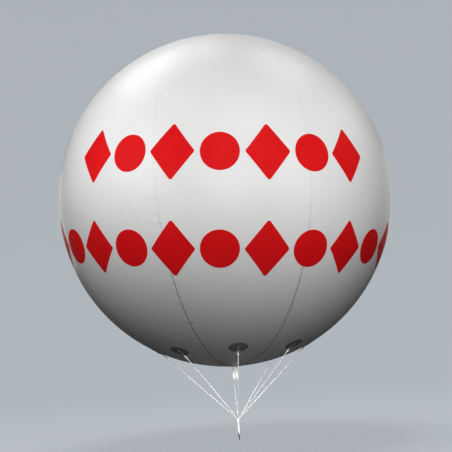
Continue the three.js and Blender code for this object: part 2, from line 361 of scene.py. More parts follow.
def soft_box_section(width, thickness, sides, squareness):
    """A rectangle with rounded edges: width lies along the path's side direction."""
    angles = ring_angles(sides)
    circle = np.stack([np.cos(angles), np.sin(angles)], -1)
    ring = np.sign(circle) * np.abs(circle) ** (2 / squareness) * (width / 2, thickness / 2)
    return lambda along: np.broadcast_to(ring, (len(along), sides, 2))


def swept(path, section, closed=False, side=None):
    """A tube along a path. side is the direction of the section's first axis at the start."""
    path = np.asarray(path, float)
    steps = np.roll(path, -1, 0) - path if closed else np.diff(path, axis=0)
    lengths = np.linalg.norm(steps, axis=1)
    along = np.concatenate([[0], np.cumsum(lengths)])[: len(path)]
    if closed:
        tangents = steps + np.roll(steps, 1, 0)
    else:
        tangents = np.concatenate([steps[:1], steps[1:] + steps[:-1], steps[-1:]])
    tangents /= np.linalg.norm(tangents, axis=1)[:, None]
    if side is None:
        helper = np.eye(3)[np.argmin(np.abs(tangents[0]))]
        side = np.cross(tangents[0], helper)
    first = np.asarray(side, float)
    sides = []
    for tangent in tangents:
        first = first - tangent * (first @ tangent)
        first = first / np.linalg.norm(first)
        sides.append(first)
    sides = np.array(sides)
    ups = np.cross(tangents, sides)
    ring = section(along)
    points = path[:, None] + ring[..., :1] * sides[:, None] + ring[..., 1:] * ups[:, None]
    rows, columns = points.shape[:2]
    distances = np.broadcast_to(along[:, None, None], (rows, columns, 1))
    places = np.concatenate([distances, ring], -1)
    return points.reshape(-1, 3), tube_faces(rows, columns, closed), places.reshape(-1, 3)


def arc(centre, radius, start, end, steps):
    """Points of an arc in a plane, with angles in degrees."""
    angles = np.radians(np.linspace(start, end, steps + 1))
    return [(centre[0] + radius * math.cos(a), centre[1] + radius * math.sin(a)) for a in angles]


def finer(table, count):
    """A table's rows, interpolated at count even steps."""
    steps = np.linspace(0, len(table) - 1, count)
    columns = np.transpose(table)
    return np.stack([np.interp(steps, range(len(table)), column) for column in columns], -1)


def in_yz(points):
    """Plane points as points in the YZ plane."""
    return np.array([(0.0, a, b) for a, b in points])


def coil(radius_at, top, bottom, turns, per_turn, start=0.0):
    """A helix about a vertical axis, from top to bottom."""
    count = int(turns * per_turn) + 1
    share = np.linspace(0, 1, count)
    heights = top + (bottom - top) * share
    angles = start + 2 * np.pi * turns * share
    radii = np.array([radius_at(height) for height in heights])
    return np.stack([radii * np.cos(angles), radii * np.sin(angles), heights], -1)


# Film surface

def from_seam(turn):
    """Signed angle from the nearest seam, and that seam's number."""
    place = turn / GORE_ANGLE - 0.5
    number = np.round(place)
    return (place - number) * GORE_ANGLE, np.mod(number, GORE_COUNT)


def ripple(along, seam):
    total = 0
    for wavelength, share, shift in RIPPLES:
        total = total + share * np.sin(2 * np.pi * along / wavelength + shift * (seam + 1))
    return total


def creasing(along, across, seam):
    """Depth of the creases beside a seam. Every other seam has them mirrored."""
    mirror = np.where(np.mod(seam, 2) < 1, 1.0, -1.0)
    total = 0
    for polar, offset, half_length, lean, depth in CREASES:
        lengthwise = along - SPHERE_RADIUS * math.radians(polar)
        lengthwise = lengthwise - CREASE_SCATTER * np.sin(2.3 * seam + polar)
        sideways = across * mirror - offset
        cosine, sine = math.cos(math.radians(lean)), math.sin(math.radians(lean))
        run = lengthwise * cosine + sideways * sine
        off = sideways * cosine - lengthwise * sine
        valley = np.exp(-((off / CREASE_WIDTH) ** 2)) - 0.5 * np.exp(-((off / CREASE_WIDTH / 2) ** 2))
        total = total + depth * valley * np.exp(-((run / half_length) ** 2))
    return total


def film_radius(polar, turn):
    """Distance of the film from the centre, with its puckers, gathers and creases."""
    angle, seam = from_seam(turn)
    share = 1 - np.abs(angle) / HALF_GORE
    radius = SPHERE_RADIUS - GORE_FLATNESS * np.sin(polar) ** 4 * (0.5 - share ** 2)
    groove = np.exp(-((angle * SPHERE_RADIUS / WELD_GROOVE_REACH) ** 2))
    radius = radius - WELD_GROOVE * np.sin(polar) * groove
    across = angle * SPHERE_RADIUS * np.sin(polar)
    along = polar * SPHERE_RADIUS
    pole_distance = SPHERE_RADIUS * np.minimum(polar, np.pi - polar)
    clear = smooth_step((pole_distance - POLE_FLANGE) / POLE_FLANGE)
    near = np.exp(-((across / PUCKER_REACH) ** 2))
    radius = radius + PUCKER_HEIGHT * clear * near * ripple(along + PUCKER_SLANT * np.abs(across), seam)
    gather = np.exp(-(((pole_distance - POLE_FLANGE) / GATHER_REACH) ** 2))
    folds = np.sin(GATHER_FOLDS * turn + 0.9 * np.sin(3 * turn))
    radius = radius + GATHER_HEIGHT * clear * gather * folds
    return radius - clear * creasing(along, across, seam)


def on_film(polar, turn, proud=0.0):
    """Points on the film, raised over it by proud."""
    radius = film_radius(polar, turn) + proud
    level = radius * np.sin(polar)
    return np.stack([level * np.sin(turn), -level * np.cos(turn), radius * np.cos(polar)], -1)


HOLE_ANGLE = math.asin(POLE_HOLE / SPHERE_RADIUS)
ROW_ANGLES = np.linspace(HOLE_ANGLE, math.pi - HOLE_ANGLE, GORE_ROWS + 1)


def gore(number, look):
    """One gore of film, from pole to pole, its columns closer together beside its seams."""
    even = np.linspace(-1, 1, GORE_COLUMNS + 1)
    side = np.sign(even) * (1 - (1 - np.abs(even)) ** COLUMN_CROWDING)
    reach = HALF_GORE - SEAM_CLEARANCE / (SPHERE_RADIUS * np.sin(ROW_ANGLES))
    turn = (number - 1) * GORE_ANGLE + side[None] * reach[:, None]
    polar = np.broadcast_to(ROW_ANGLES[:, None], turn.shape)
    skins = closed_sheet(on_film(polar, turn), on_film(polar, turn, -FILM_DEPTH))
    make_piece(f"gore_film_{number}", [skins], look, [f"gore_{number}"])


def weld_strip(number, look):
    """The lap weld along the seam after a gore."""
    profile = np.array(WELD_PROFILE) * MM
    seam_turn = (number - 0.5) * GORE_ANGLE
    across = profile[None, :, 0]
    turn = seam_turn + across / (SPHERE_RADIUS * np.sin(ROW_ANGLES[:, None]))
    polar = np.broadcast_to(ROW_ANGLES[:, None], turn.shape)
    over = on_film(polar, turn, profile[None, :, 1])
    under = on_film(polar, turn, -WELD_DEPTH)
    along = polar * SPHERE_RADIUS
    places = np.stack([along, np.broadcast_to(across, turn.shape), np.zeros(turn.shape)], -1)
    make_piece(f"weld_seam_{number}", [closed_sheet(over, under, places)], look)


# Print

def lozenge_outline():
    """A lozenge whose four points are slightly rounded, with its sides cut into short steps."""
    steps = 24
    height, width = LOZENGE_HALF_HEIGHT, LOZENGE_HALF_WIDTH
    slope = math.degrees(math.atan2(width, height))
    tip = LOZENGE_ROUNDING / math.sin(math.radians(slope))
    flank = LOZENGE_ROUNDING / math.cos(math.radians(slope))
    corners = [
        ((width - flank, 0), -slope, slope),
        ((0, height - tip), slope, 180 - slope),
        ((flank - width, 0), 180 - slope, 180 + slope),
        ((0, tip - height), 180 + slope, 360 - slope),
    ]
    rounds = [arc(centre, LOZENGE_ROUNDING, start, end, 4) for centre, start, end in corners]
    outline = []
    for this, after in zip(rounds, rounds[1:] + rounds[:1]):
        outline += [*this, *np.linspace(this[-1], after[0], steps + 1)[1:-1]]
    return np.array(outline)


def spot_outline():
    return np.array(arc((0, 0), SPOT_RADIUS, 0, 360, 64)[:-1])


def camera_axes():
    """Right, up and backward directions of the camera."""
    back = -CAMERA_AIM.normalized()
    right = CAMERA_AIM.cross(Vector((0, 0, 1))).normalized()
    roll = Matrix.Rotation(CAMERA_ROLL, 3, back)
    return roll @ right, roll @ back.cross(right), back


def print_points(flat, azimuth, latitude, behind, proud):
    """Points of a motif on the film, level as the camera sees it. flat is measured on the film
    from the motif's middle."""
    right, up, outward = (np.array(axis) for axis in camera_axes())
    longitude = azimuth + flat[..., 0] / (SPHERE_RADIUS * math.cos(latitude))
    height = latitude + flat[..., 1] / SPHERE_RADIUS
    direction = (
        (np.cos(height) * np.sin(longitude))[..., None] * right
        + np.sin(height)[..., None] * up
        + (np.cos(height) * np.cos(longitude))[..., None] * outward
    )
    polar = np.arccos(direction[..., 2])
    turn = np.arctan2(direction[..., 0], -direction[..., 1]) + (math.pi if behind else 0)
    return on_film(polar, turn, proud)


def motif(outline, rings, *where):
    """A thin closed motif: rings of points round its middle, over a coarser underside."""
    count = len(outline)

    def skin(shares, proud):
        flat = np.concatenate([np.zeros((1, 2))] + [outline * share for share in shares])
        return print_points(flat, *where, proud)

    def fan(start, layers):
        faces = [(start, start + 1 + (i + 1) % count, start + 1 + i) for i in range(count)]
        return faces + grid_faces(layers, count, start + 1, True)

    top = skin([i / rings for i in range(1, rings + 1)], PRINT_PROUD)
    under = skin([0.33, 0.67, 1.0], -PRINT_DEPTH)
    faces = fan(0, rings) + fan(len(top), 3)
    rim, low_rim = len(top) - count, len(top) + len(under) - count
    for i in range(count):
        after = (i + 1) % count
        faces.append((rim + i, rim + after, low_rim + after, low_rim + i))
    return np.concatenate([top, under]), faces


def print_row(name, latitude, count, behind, look):
    """Lozenges and discs by turns, evenly spaced about the middle of the front or the back."""
    shapes = [(lozenge_outline(), 14), (spot_outline(), 8)]
    parts = []
    for number in range(count):
        outline, rings = shapes[number % 2]
        azimuth = PRINT_SHIFT + (number - (count - 1) / 2) * PRINT_PITCH
        parts.append(motif(outline, rings, azimuth, math.radians(latitude), behind))
    side = "back" if behind else "front"
    make_piece(f"print_{name}_{side}", parts, look)


# Mooring points. In their own frame z is the height over the middle of a patch's place on the
# sphere, and the lower pole lies towards -y.

def mooring_frame(number):
    around = Matrix.Rotation((number - 1) * GORE_ANGLE, 4, "Z")
    down = Vector((0, -math.sin(MOORING_POLAR), -math.cos(MOORING_POLAR)))
    tilt = Matrix.Rotation(math.pi - MOORING_POLAR, 4, "X")
    return around @ Matrix.Translation(SPHERE_RADIUS * down) @ tilt


def pull_frame():
    """The ring and its cord, turned about the ring's bar so that the cord points at the knot."""
    sideways = KNOT_HEIGHT * math.sin(MOORING_POLAR) + BAR_OFFSET
    down = -KNOT_HEIGHT * math.cos(MOORING_POLAR) - SPHERE_RADIUS - BAR_HEIGHT
    reach = math.hypot(sideways, down)
    turn = Matrix.Rotation(-math.atan2(down, -sideways), 4, "X")
    return Matrix.Translation((0, -BAR_OFFSET, BAR_HEIGHT)) @ turn, reach


def sagitta(distance):
    """How far the sphere falls away at a distance from the middle of a patch."""
    return np.sqrt(SPHERE_RADIUS ** 2 - distance ** 2) - SPHERE_RADIUS


def welded_disc(radius, thickness):
    """A disc welded on the film: a flat rim with small dimples, then a low dome."""
    # Columns: distance from the edge, share of the thickness, depth of the dimples. The
    # distance and the depth are in millimetres.
    edges, shares, depths = np.transpose([
        (0.0, 0.15, 0.0), (0.5, 0.38, 0.0), (1.6, 0.46, 0.0), (3.2, 0.40, 0.10),
        (5.0, 0.36, 0.20), (6.8, 0.40, 0.10), (8.4, 0.50, 0.0), (10.5, 0.80, 0.0),
        (13.5, 0.93, 0.0), (24.0, 0.97, 0.0), (44.0, 1.00, 0.0),
    ])
    upper = zip(radius - edges * MM, shares * thickness)
    points, faces = turned([(0, SEAT_GAP), (radius, SEAT_GAP), *upper, (0, thickness)], DISC_SIDES)
    distances = np.hypot(points[:, 0], points[:, 1])
    angles = np.arctan2(points[:, 1], points[:, 0])
    dimples = np.interp(radius - distances, edges * MM, depths * MM)
    points[:, 2] += sagitta(distances) + dimples * np.cos(RIM_DIMPLES * angles)
    return points, faces, points * np.array([1, 1, 0])


def strap_path():
    """Middle line of the webbing: under ply, loop round the ring's bar, upper ply."""
    low = PATCH_THICKNESS + PRESSED_PLY / 2
    loop = EYE_RADIUS + PRESSED_PLY / 2
    under = [(y, low + sagitta(y)) for y in np.linspace(STRAP_TAIL, -0.72 * BAR_OFFSET, 14)]
    # The plies close on each other ahead of the loop
    lift = (-0.86 * BAR_OFFSET, BAR_HEIGHT - loop - 0.4 * MM)
    round_bar = arc((-BAR_OFFSET, BAR_HEIGHT), loop, -80, -330, 18)
    upper = low + 1.04 * PRESSED_PLY
    over = [(y, upper + sagitta(y)) for y in np.linspace(-0.70 * BAR_OFFSET, STRAP_TAIL - 3 * MM, 14)]
    return in_yz(under + [lift] + round_bar + over)


def stitch_lines():
    """Sewn lines on the upper ply, as pairs of ends: a box with its diagonals, and two bars."""
    half, near, far = 0.36 * STRAP_WIDTH, -18 * MM, 14 * MM
    corners = [(-half, near), (half, near), (half, far), (-half, far)]
    lines = list(zip(corners, corners[1:] + corners[:1]))
    lines += [(corners[0], corners[2]), (corners[1], corners[3])]
    for bar in (-36 * MM, -40 * MM):
        lines.append(((-half, bar), (half, bar)))
    return lines


def stitches():
    """Short raised threads along the sewn lines."""
    height = PATCH_THICKNESS + 2.25 * PRESSED_PLY
    pitch, length = 4.2 * MM, 3.1 * MM
    # Columns: share of a stitch's length, height in millimetres.
    bow = [(-0.5, -0.55), (-0.3, 0.0), (0.0, 0.12), (0.3, 0.0), (0.5, -0.55)]
    parts = []
    for (x0, y0), (x1, y1) in stitch_lines():
        run = math.hypot(x1 - x0, y1 - y0)
        count = max(2, round(run / pitch))
        ahead = np.array([(x1 - x0) / run, (y1 - y0) / run, 0])
        for number in range(count):
            share = (number + 0.5) / count
            x, y = x0 + (x1 - x0) * share, y0 + (y1 - y0) * share
            middle = np.array([x, y, height + sagitta(y)])
            path = [middle + ahead * length * a + np.array([0, 0, b * MM]) for a, b in bow]
            parts.append(swept(path, round_section(0.42 * MM, 6)))
    return parts


def ring_path():
    """Middle of the ring's wire: a D with its bar along x and its round side towards -y."""
    half, corner = RING_HALF_WIDTH, RING_CORNER
    low = half - RING_DEPTH
    flat = [(x, 0) for x in np.linspace(corner - half, half - corner, 12)[1:-1]]
    flat += arc((half - corner, -corner), corner, 90, 0, 6)
    flat += arc((0, low), half, 0, -180, 40)
    flat += arc((corner - half, -corner), corner, 180, 90, 6)
    return np.array([(x, y, 0.0) for x, y in flat])


def cord_parts(reach):
    """A bridle cord from its eye round the ring to the knot, with its whipping."""
    eye = EYE_RADIUS + CORD_RADIUS
    throat = -HITCH_PLACE - 4 * MM
    side = 2.1 * MM
    loop = [(throat, -side), (-HITCH_PLACE, -side)]
    loop += arc((0, 0), eye, -140, 140, 22)
    loop += [(-HITCH_PLACE, side), (throat, side)]
    laid = laid_section(CORD_RADIUS, CORD_STRANDS, CORD_LAY, groove=0.06, sides=12)
    end = -(reach - RING_DEPTH - 0.3 * KNOT_RADIUS)
    steps = int((-end - HITCH_PLACE) / CORD_STEP)
    run = [(0, y, 0) for y in np.linspace(-HITCH_PLACE, end, steps)]
    whip = coil(lambda height: 4.9 * MM, -5.5 * MM, -20 * MM, 8, 16)
    whipping = swept(whip, round_section(WHIPPING_THREAD, 6))
    lying = Matrix.Rotation(math.radians(-90), 4, "X")
    parts = [
        swept(in_yz(loop), laid),
        swept(run, laid),
        placed(whipping, lying),
    ]
    return [placed(part, Matrix.Translation((0, -RING_DEPTH, 0))) for part in parts]


def mooring_point(number, looks):
    """A patch with its strap and stitches, a D-ring and a bridle cord."""
    where = mooring_frame(number)
    pull, reach = pull_frame()
    pulled = where @ pull
    disc = welded_disc(PATCH_RADIUS, PATCH_THICKNESS)
    strap = swept(strap_path(), soft_box_section(STRAP_WIDTH, PRESSED_PLY, 28, 9), side=(1, 0, 0))
    ring = swept(ring_path(), round_section(RING_WIRE, 16), closed=True)
    # Columns: name, parts, place, look, nodes that it stands for, sharp angle.
    for name, parts, matrix, look, nodes, sharp in (
        ("patch", [disc], where, "patch", ["mooring_patch"], SHARP_ANGLE),
        ("webbing", [strap], where, "webbing", ["mooring_strap"], FIBRE_ANGLE),
        ("stitching", stitches(), where, "thread", [], FIBRE_ANGLE),
        ("d_ring", [ring], pulled, "steel", ["mooring_ring"], SHARP_ANGLE),
        ("cord", cord_parts(reach), pulled, "cord", ["bridle_cord"], FIBRE_ANGLE),
    ):
        moved = [placed(part, matrix) for part in parts]
        stands_for = [f"{node}_{number}" for node in nodes]
        make_piece(f"{name}_{number}", moved, looks[look], stands_for, sharp=sharp)


# Poles and filling neck

def pole_discs(looks):
    disc = welded_disc(POLE_FLANGE, DISC_THICKNESS)
    up = Matrix.Translation((0, 0, SPHERE_RADIUS))
    down = Matrix.Rotation(math.pi, 4, "X") @ up
    make_piece("crown_disc", [placed(disc, up)], looks["film"], ["top_pole_disc"])
    make_piece("foot_disc", [placed(disc, down)], looks["patch"], ["bottom_pole_disc"])


def neck_part():
    """A gathered tube of film with uneven pleats, its mouth folded inwards."""
    # Columns: height and radius in millimetres, depth of the pleats as a share of the radius.
    profile = [
        (-1503.7, 20.0, 0.02), (-1507, 18.2, 0.04), (-1514, 17.0, 0.07), (-1521, 14.0, 0.12),
        (-1526, 10.6, 0.16), (-1529, 9.0, 0.15), (-1533, 9.0, 0.15), (-1536, 10.8, 0.17),
        (-1542, 15.5, 0.17), (-1550, 20.5, 0.16), (-1562, 26.0, 0.15), (-1574, 28.8, 0.14),
        (-1586, 29.0, 0.14), (-1598, 26.0, 0.16), (-1608, 20.0, 0.19), (-1614, 14.0, 0.22),
        (-1617, 9.5, 0.22), (-1615, 7.0, 0.20), (-1606, 8.5, 0.15), (-1596, 5.0, 0.10),
    ]
    heights, radii, depths = finer(profile, 4 * (len(profile) - 1) + 1).T
    sides = 176
    angle = ring_angles(sides)
    warped = angle + 0.20 * np.sin(2 * angle + 0.7) + 0.11 * np.sin(3 * angle + 2)
    points = []
    for height, radius, depth in zip(heights, radii, depths):
        lean = 0.006 * (height - TIE_HEIGHT / MM)
        fold = np.cos(NECK_PLEATS * warped + lean) + 0.35 * np.cos(2 * NECK_PLEATS * warped + 2.6 * lean)
        reach = radius * (1 - depth + depth * fold)
        points.append(np.stack([reach * np.cos(angle), reach * np.sin(angle), np.full(sides, height)], -1))
    return np.concatenate(points) * MM, tube_faces(len(heights), sides)


def small_knot(middle, size, thickness):
    """A tight overhand knot."""
    t = ring_angles(60)
    path = np.stack([
        np.sin(t) + 2 * np.sin(2 * t),
        -1.2 * np.sin(3 * t),
        np.cos(t) - 2 * np.cos(2 * t),
    ], -1) * size / 3
    return swept(path + np.array(middle), round_section(thickness, 8), closed=True)


def neck_tie():
    """Three turns of thin cord, a knot and two short ends."""
    thin = 1.4 * MM
    laid = laid_section(thin, CORD_STRANDS, 9 * MM, sides=9)
    rise = 3.2 * MM
    turns = coil(lambda height: 10.2 * MM, TIE_HEIGHT + rise, TIE_HEIGHT - rise, 3, 28, start=-math.pi / 2)
    front = -11.5 * MM
    parts = [swept(turns, laid), small_knot((0, front - 0.8 * MM, TIE_HEIGHT), 3.2 * MM, 1.3 * MM)]
    for side in (-1, 1):
        end = [(0, 0, 0), (4, -1, -1), (8, -4, -7), (9.5, -8, -16), (9, -12, -26), (10, -15.5, -33)]
        path = finer(end, 26) * MM
        path[:, 0] *= side
        path[:, 2] *= 1 if side < 0 else 0.82
        parts.append(swept(path + np.array([0, front, TIE_HEIGHT]), laid))
    return parts


def neck(looks):
    make_piece("neck_film", [neck_part()], looks["film"], ["filling_neck"], sharp=PLEAT_ANGLE)
    make_piece("neck_cord", neck_tie(), looks["cord"], ["neck_tie"], sharp=FIBRE_ANGLE)


# Knot and drop line

def knot_radius(height):
    """Radius of the middle of the wound cord at a height of the knot."""
    # Columns: height over the middle of the knot, radius, in millimetres.
    table = np.array([(-34, 5.0), (-20, 6.0), (-12, 9.0), (-6, 11.2), (0, 12.0), (6, 10.6), (10, 8.0)])
    return float(np.interp((height - KNOT_HEIGHT) / MM, table[:, 0], table[:, 1])) * MM


def bridle_knot(looks):
    """The cords go in at the top, and are wound with cord down to the line's start."""
    laid = laid_section(CORD_RADIUS, CORD_STRANDS, CORD_LAY, sides=12)
    wound = coil(knot_radius, KNOT_HEIGHT + 9 * MM, KNOT_HEIGHT - KNOT_TAIL + 3 * MM, 7, 30)
    core_path = [(0, 0, KNOT_HEIGHT + 10 * MM - step * MM) for step in range(0, 45, 4)]
    core = swept(core_path, laid_section(7 * MM, strands=8, lay=70 * MM, groove=0.1, sides=48))
    end = coil(lambda height: 13.5 * MM, KNOT_HEIGHT + 3 * MM, KNOT_HEIGHT - 14 * MM, 0.42, 40, start=0.6)
    parts = [swept(wound, laid), core, swept(end, laid)]
    make_piece("knot_cord", parts, looks["cord"], ["gathering_knot"], sharp=FIBRE_ANGLE)


def drop_line(looks):
    """The gathered cords as one laid line, whipped above the eye that hangs the swivel."""
    top = KNOT_HEIGHT - KNOT_TAIL + 3 * MM
    rope = laid_section(LINE_RADIUS, strands=7, lay=95 * MM, groove=0.10, sides=42)
    line = swept([(0, 0, height) for height in np.linspace(top, LINE_END, 60)], rope)
    whip_top = LINE_END + WHIPPING_LENGTH
    whip = coil(lambda height: 7.6 * MM, whip_top, LINE_END, 13, 28)
    whipping = swept(whip, round_section(WHIPPING_THREAD, 6))
    eye = arc((0, LINE_EYE_HEIGHT), LINE_EYE_RADIUS, 0, 360, 48)[:-1]
    two_turns = laid_section(CORD_RADIUS, CORD_STRANDS, math.pi * LINE_EYE_RADIUS, sides=15)
    parts = [line, whipping, swept(in_yz(eye), two_turns, closed=True)]
    make_piece("line_cord", parts, looks["cord"], ["drop_line"], sharp=FIBRE_ANGLE)


# Swivel, hook and gate. In the hook's own plane a point is (place along Y, height over the
# underside of the collar).

def in_metres(points):
    """Plane points given in millimetres."""
    return [(a * MM, b * MM) for a, b in points]


def on_hook(points):
    return in_yz(points) + np.array([0, 0, COLLAR_HEIGHT])


def swivel(looks):
    low = COLLAR_HEIGHT
    # Columns: radius, height over the underside of the collar, in millimetres.
    profile = [
        (0, -3.2), (4.3, -3.2), (5, -2.5), (5, -1.0), (4.4, -0.4), (2.6, -0.4),
        (2.6, 8.3), (4.5, 8.3), (5, 8.8), (5, 9.8), (4.1, 11.0), (2.6, 12.6), (0, 12.9),
    ]
    stem = turned([(radius * MM, low + height * MM) for radius, height in profile])
    angles = ring_angles(48)
    ring = np.stack([
        EYE_RING_RADIUS * np.cos(angles),
        np.zeros(48),
        low + EYE_RING_RISE + EYE_RING_RADIUS * np.sin(angles),
    ], -1)
    parts = [stem, swept(ring, round_section(EYE_RING_WIRE, 16), closed=True)]
    make_piece("swivel", parts, looks["steel"], ["swivel_eye"])


def prism(outline, thickness, middle=0.0, bevel=0.35 * MM):
    """A plate in the hook's plane with its edges broken. The outline is convex."""
    flat = np.array(outline)
    centre = (flat.min(0) + flat.max(0)) / 2
    span = (flat.max(0) - flat.min(0)) / 2
    inset = centre + (flat - centre) * (1 - bevel / span)
    half = thickness / 2
    layers = [(inset, -half), (flat, bevel - half), (flat, half - bevel), (inset, half)]
    points = [(middle + x, y, z) for ring, x in layers for y, z in ring]
    return np.array(points) + np.array([0, 0, COLLAR_HEIGHT]), tube_faces(len(layers), len(flat))


def hook_tongue():
    """The thin tongue that carries the gate: round below, square at its root, with a pin hole."""
    sides = 32
    hole, radius, root = 1.5 * MM, BOW_WIDTH / 2, 3.2 * MM
    near, far = -TONGUE_THICKNESS / 2, TONGUE_THICKNESS / 2
    points = []
    for x, reach in ((near, hole), (near, radius), (far, radius), (far, hole)):
        for angle in ring_angles(sides):
            y, z = reach * math.cos(angle), reach * math.sin(angle)
            if reach == radius and z > 0:
                to_side = radius / max(abs(math.cos(angle)), 1e-6)
                stretch = min(to_side, root / max(math.sin(angle), 1e-6))
                y, z = stretch * math.cos(angle), stretch * math.sin(angle)
            points.append((x, BOW_SIDE + y, COLLAR_HEIGHT + GATE_PIVOT + z))
    return np.array(points), tube_faces(4, sides, looped=True)


def hook_shoulder():
    """The curve from the collar down to the straight side of the hook, for its side at +Y."""
    top, corner, foot = np.array([(4.6, 5.2), (BOW_SIDE / MM, -0.9), (BOW_SIDE / MM, -5)]) * MM
    share = np.linspace(0, 1, 11)[:, None]
    curve = (1 - share) ** 2 * top + 2 * share * (1 - share) * corner + share ** 2 * foot
    return curve.tolist()


def hook(looks):
    collar_profile = [
        (BORE_RADIUS, 0), (COLLAR_FACE_RADIUS, 0), (COLLAR_RADIUS, COLLAR_EDGE),
        (COLLAR_RADIUS, COLLAR_DEPTH - COLLAR_EDGE), (COLLAR_FACE_RADIUS, COLLAR_DEPTH),
        (BORE_RADIUS, COLLAR_DEPTH), (BORE_RADIUS, 0),
    ]
    collar = turned([(radius, COLLAR_HEIGHT + height) for radius, height in collar_profile])
    bend = (BOW_SIDE - BOW_CORNER, BOW_BOTTOM + BOW_CORNER)
    bow = [(-y, z) for y, z in hook_shoulder()]
    bow += [(-BOW_SIDE, height * MM) for height in (-10, -18, -24)]
    bow += arc((-bend[0], bend[1]), BOW_CORNER, 180, 270, 12)
    bow += arc(bend, BOW_CORNER, 270, 360, 12)
    bow += [(BOW_SIDE, NOSE_TOP)]
    shoulder = hook_shoulder() + [(BOW_SIDE, SHOULDER_END)]
    section = soft_box_section(BOW_THICKNESS, BOW_WIDTH, 24, 3.2)
    lip = in_metres([(10.7, -24.5), (11.7, -24.5), (11.9, -21), (11.5, -20.4), (10.7, -20.4)])
    parts = [
        collar,
        swept(on_hook(bow), section, side=(1, 0, 0)),
        swept(on_hook(shoulder), section, side=(1, 0, 0)),
        prism(lip, 3.6 * MM, bevel=0.2 * MM),
        hook_tongue(),
    ]
    make_piece("hook_body", parts, looks["dark_steel"], ["hook"], "hook")


def gate(looks):
    """A forked gate on its pin, with a notch at its free end."""
    half = BOW_WIDTH / 2 - 0.1 * MM
    left, right = BOW_SIDE - half, BOW_SIDE + half
    fork = -13.6 * MM
    notch = 10.2 * MM
    overlap = fork - 0.6 * MM
    body_end, foot_top = -19.6 * MM, -19.2 * MM
    cheek = arc((BOW_SIDE, GATE_PIVOT), half, 0, 180, 14) + [(left, overlap), (right, overlap)]
    body = [(left, fork), (left, body_end), (right, body_end), (right, fork)]
    foot = [(left, foot_top), (left, GATE_END), (notch, GATE_END), (notch, foot_top)]
    thickness = 5.4 * MM
    cheek_thickness = 1.35 * MM
    offset = (thickness - cheek_thickness) / 2
    pin_profile = [
        (0, -3.1), (1.2, -3.05), (1.7, -2.85), (1.7, -2.7), (1.1, -2.7),
        (1.1, 2.7), (1.7, 2.7), (1.7, 2.85), (1.2, 3.05), (0, 3.1),
    ]
    pin = turned(in_metres(pin_profile), 24)
    pivot = Matrix.Translation((0, BOW_SIDE, COLLAR_HEIGHT + GATE_PIVOT))
    across = pivot @ Matrix.Rotation(math.pi / 2, 4, "Y")
    parts = [
        prism(body, thickness, bevel=0.5 * MM),
        prism(foot, thickness, bevel=0.3 * MM),
        prism(cheek, cheek_thickness, offset),
        prism(cheek, cheek_thickness, -offset),
        placed(pin, across),
    ]
    make_piece("hook_gate_lever", parts, looks["dark_steel"], ["hook_gate"], "gate")


# Materials

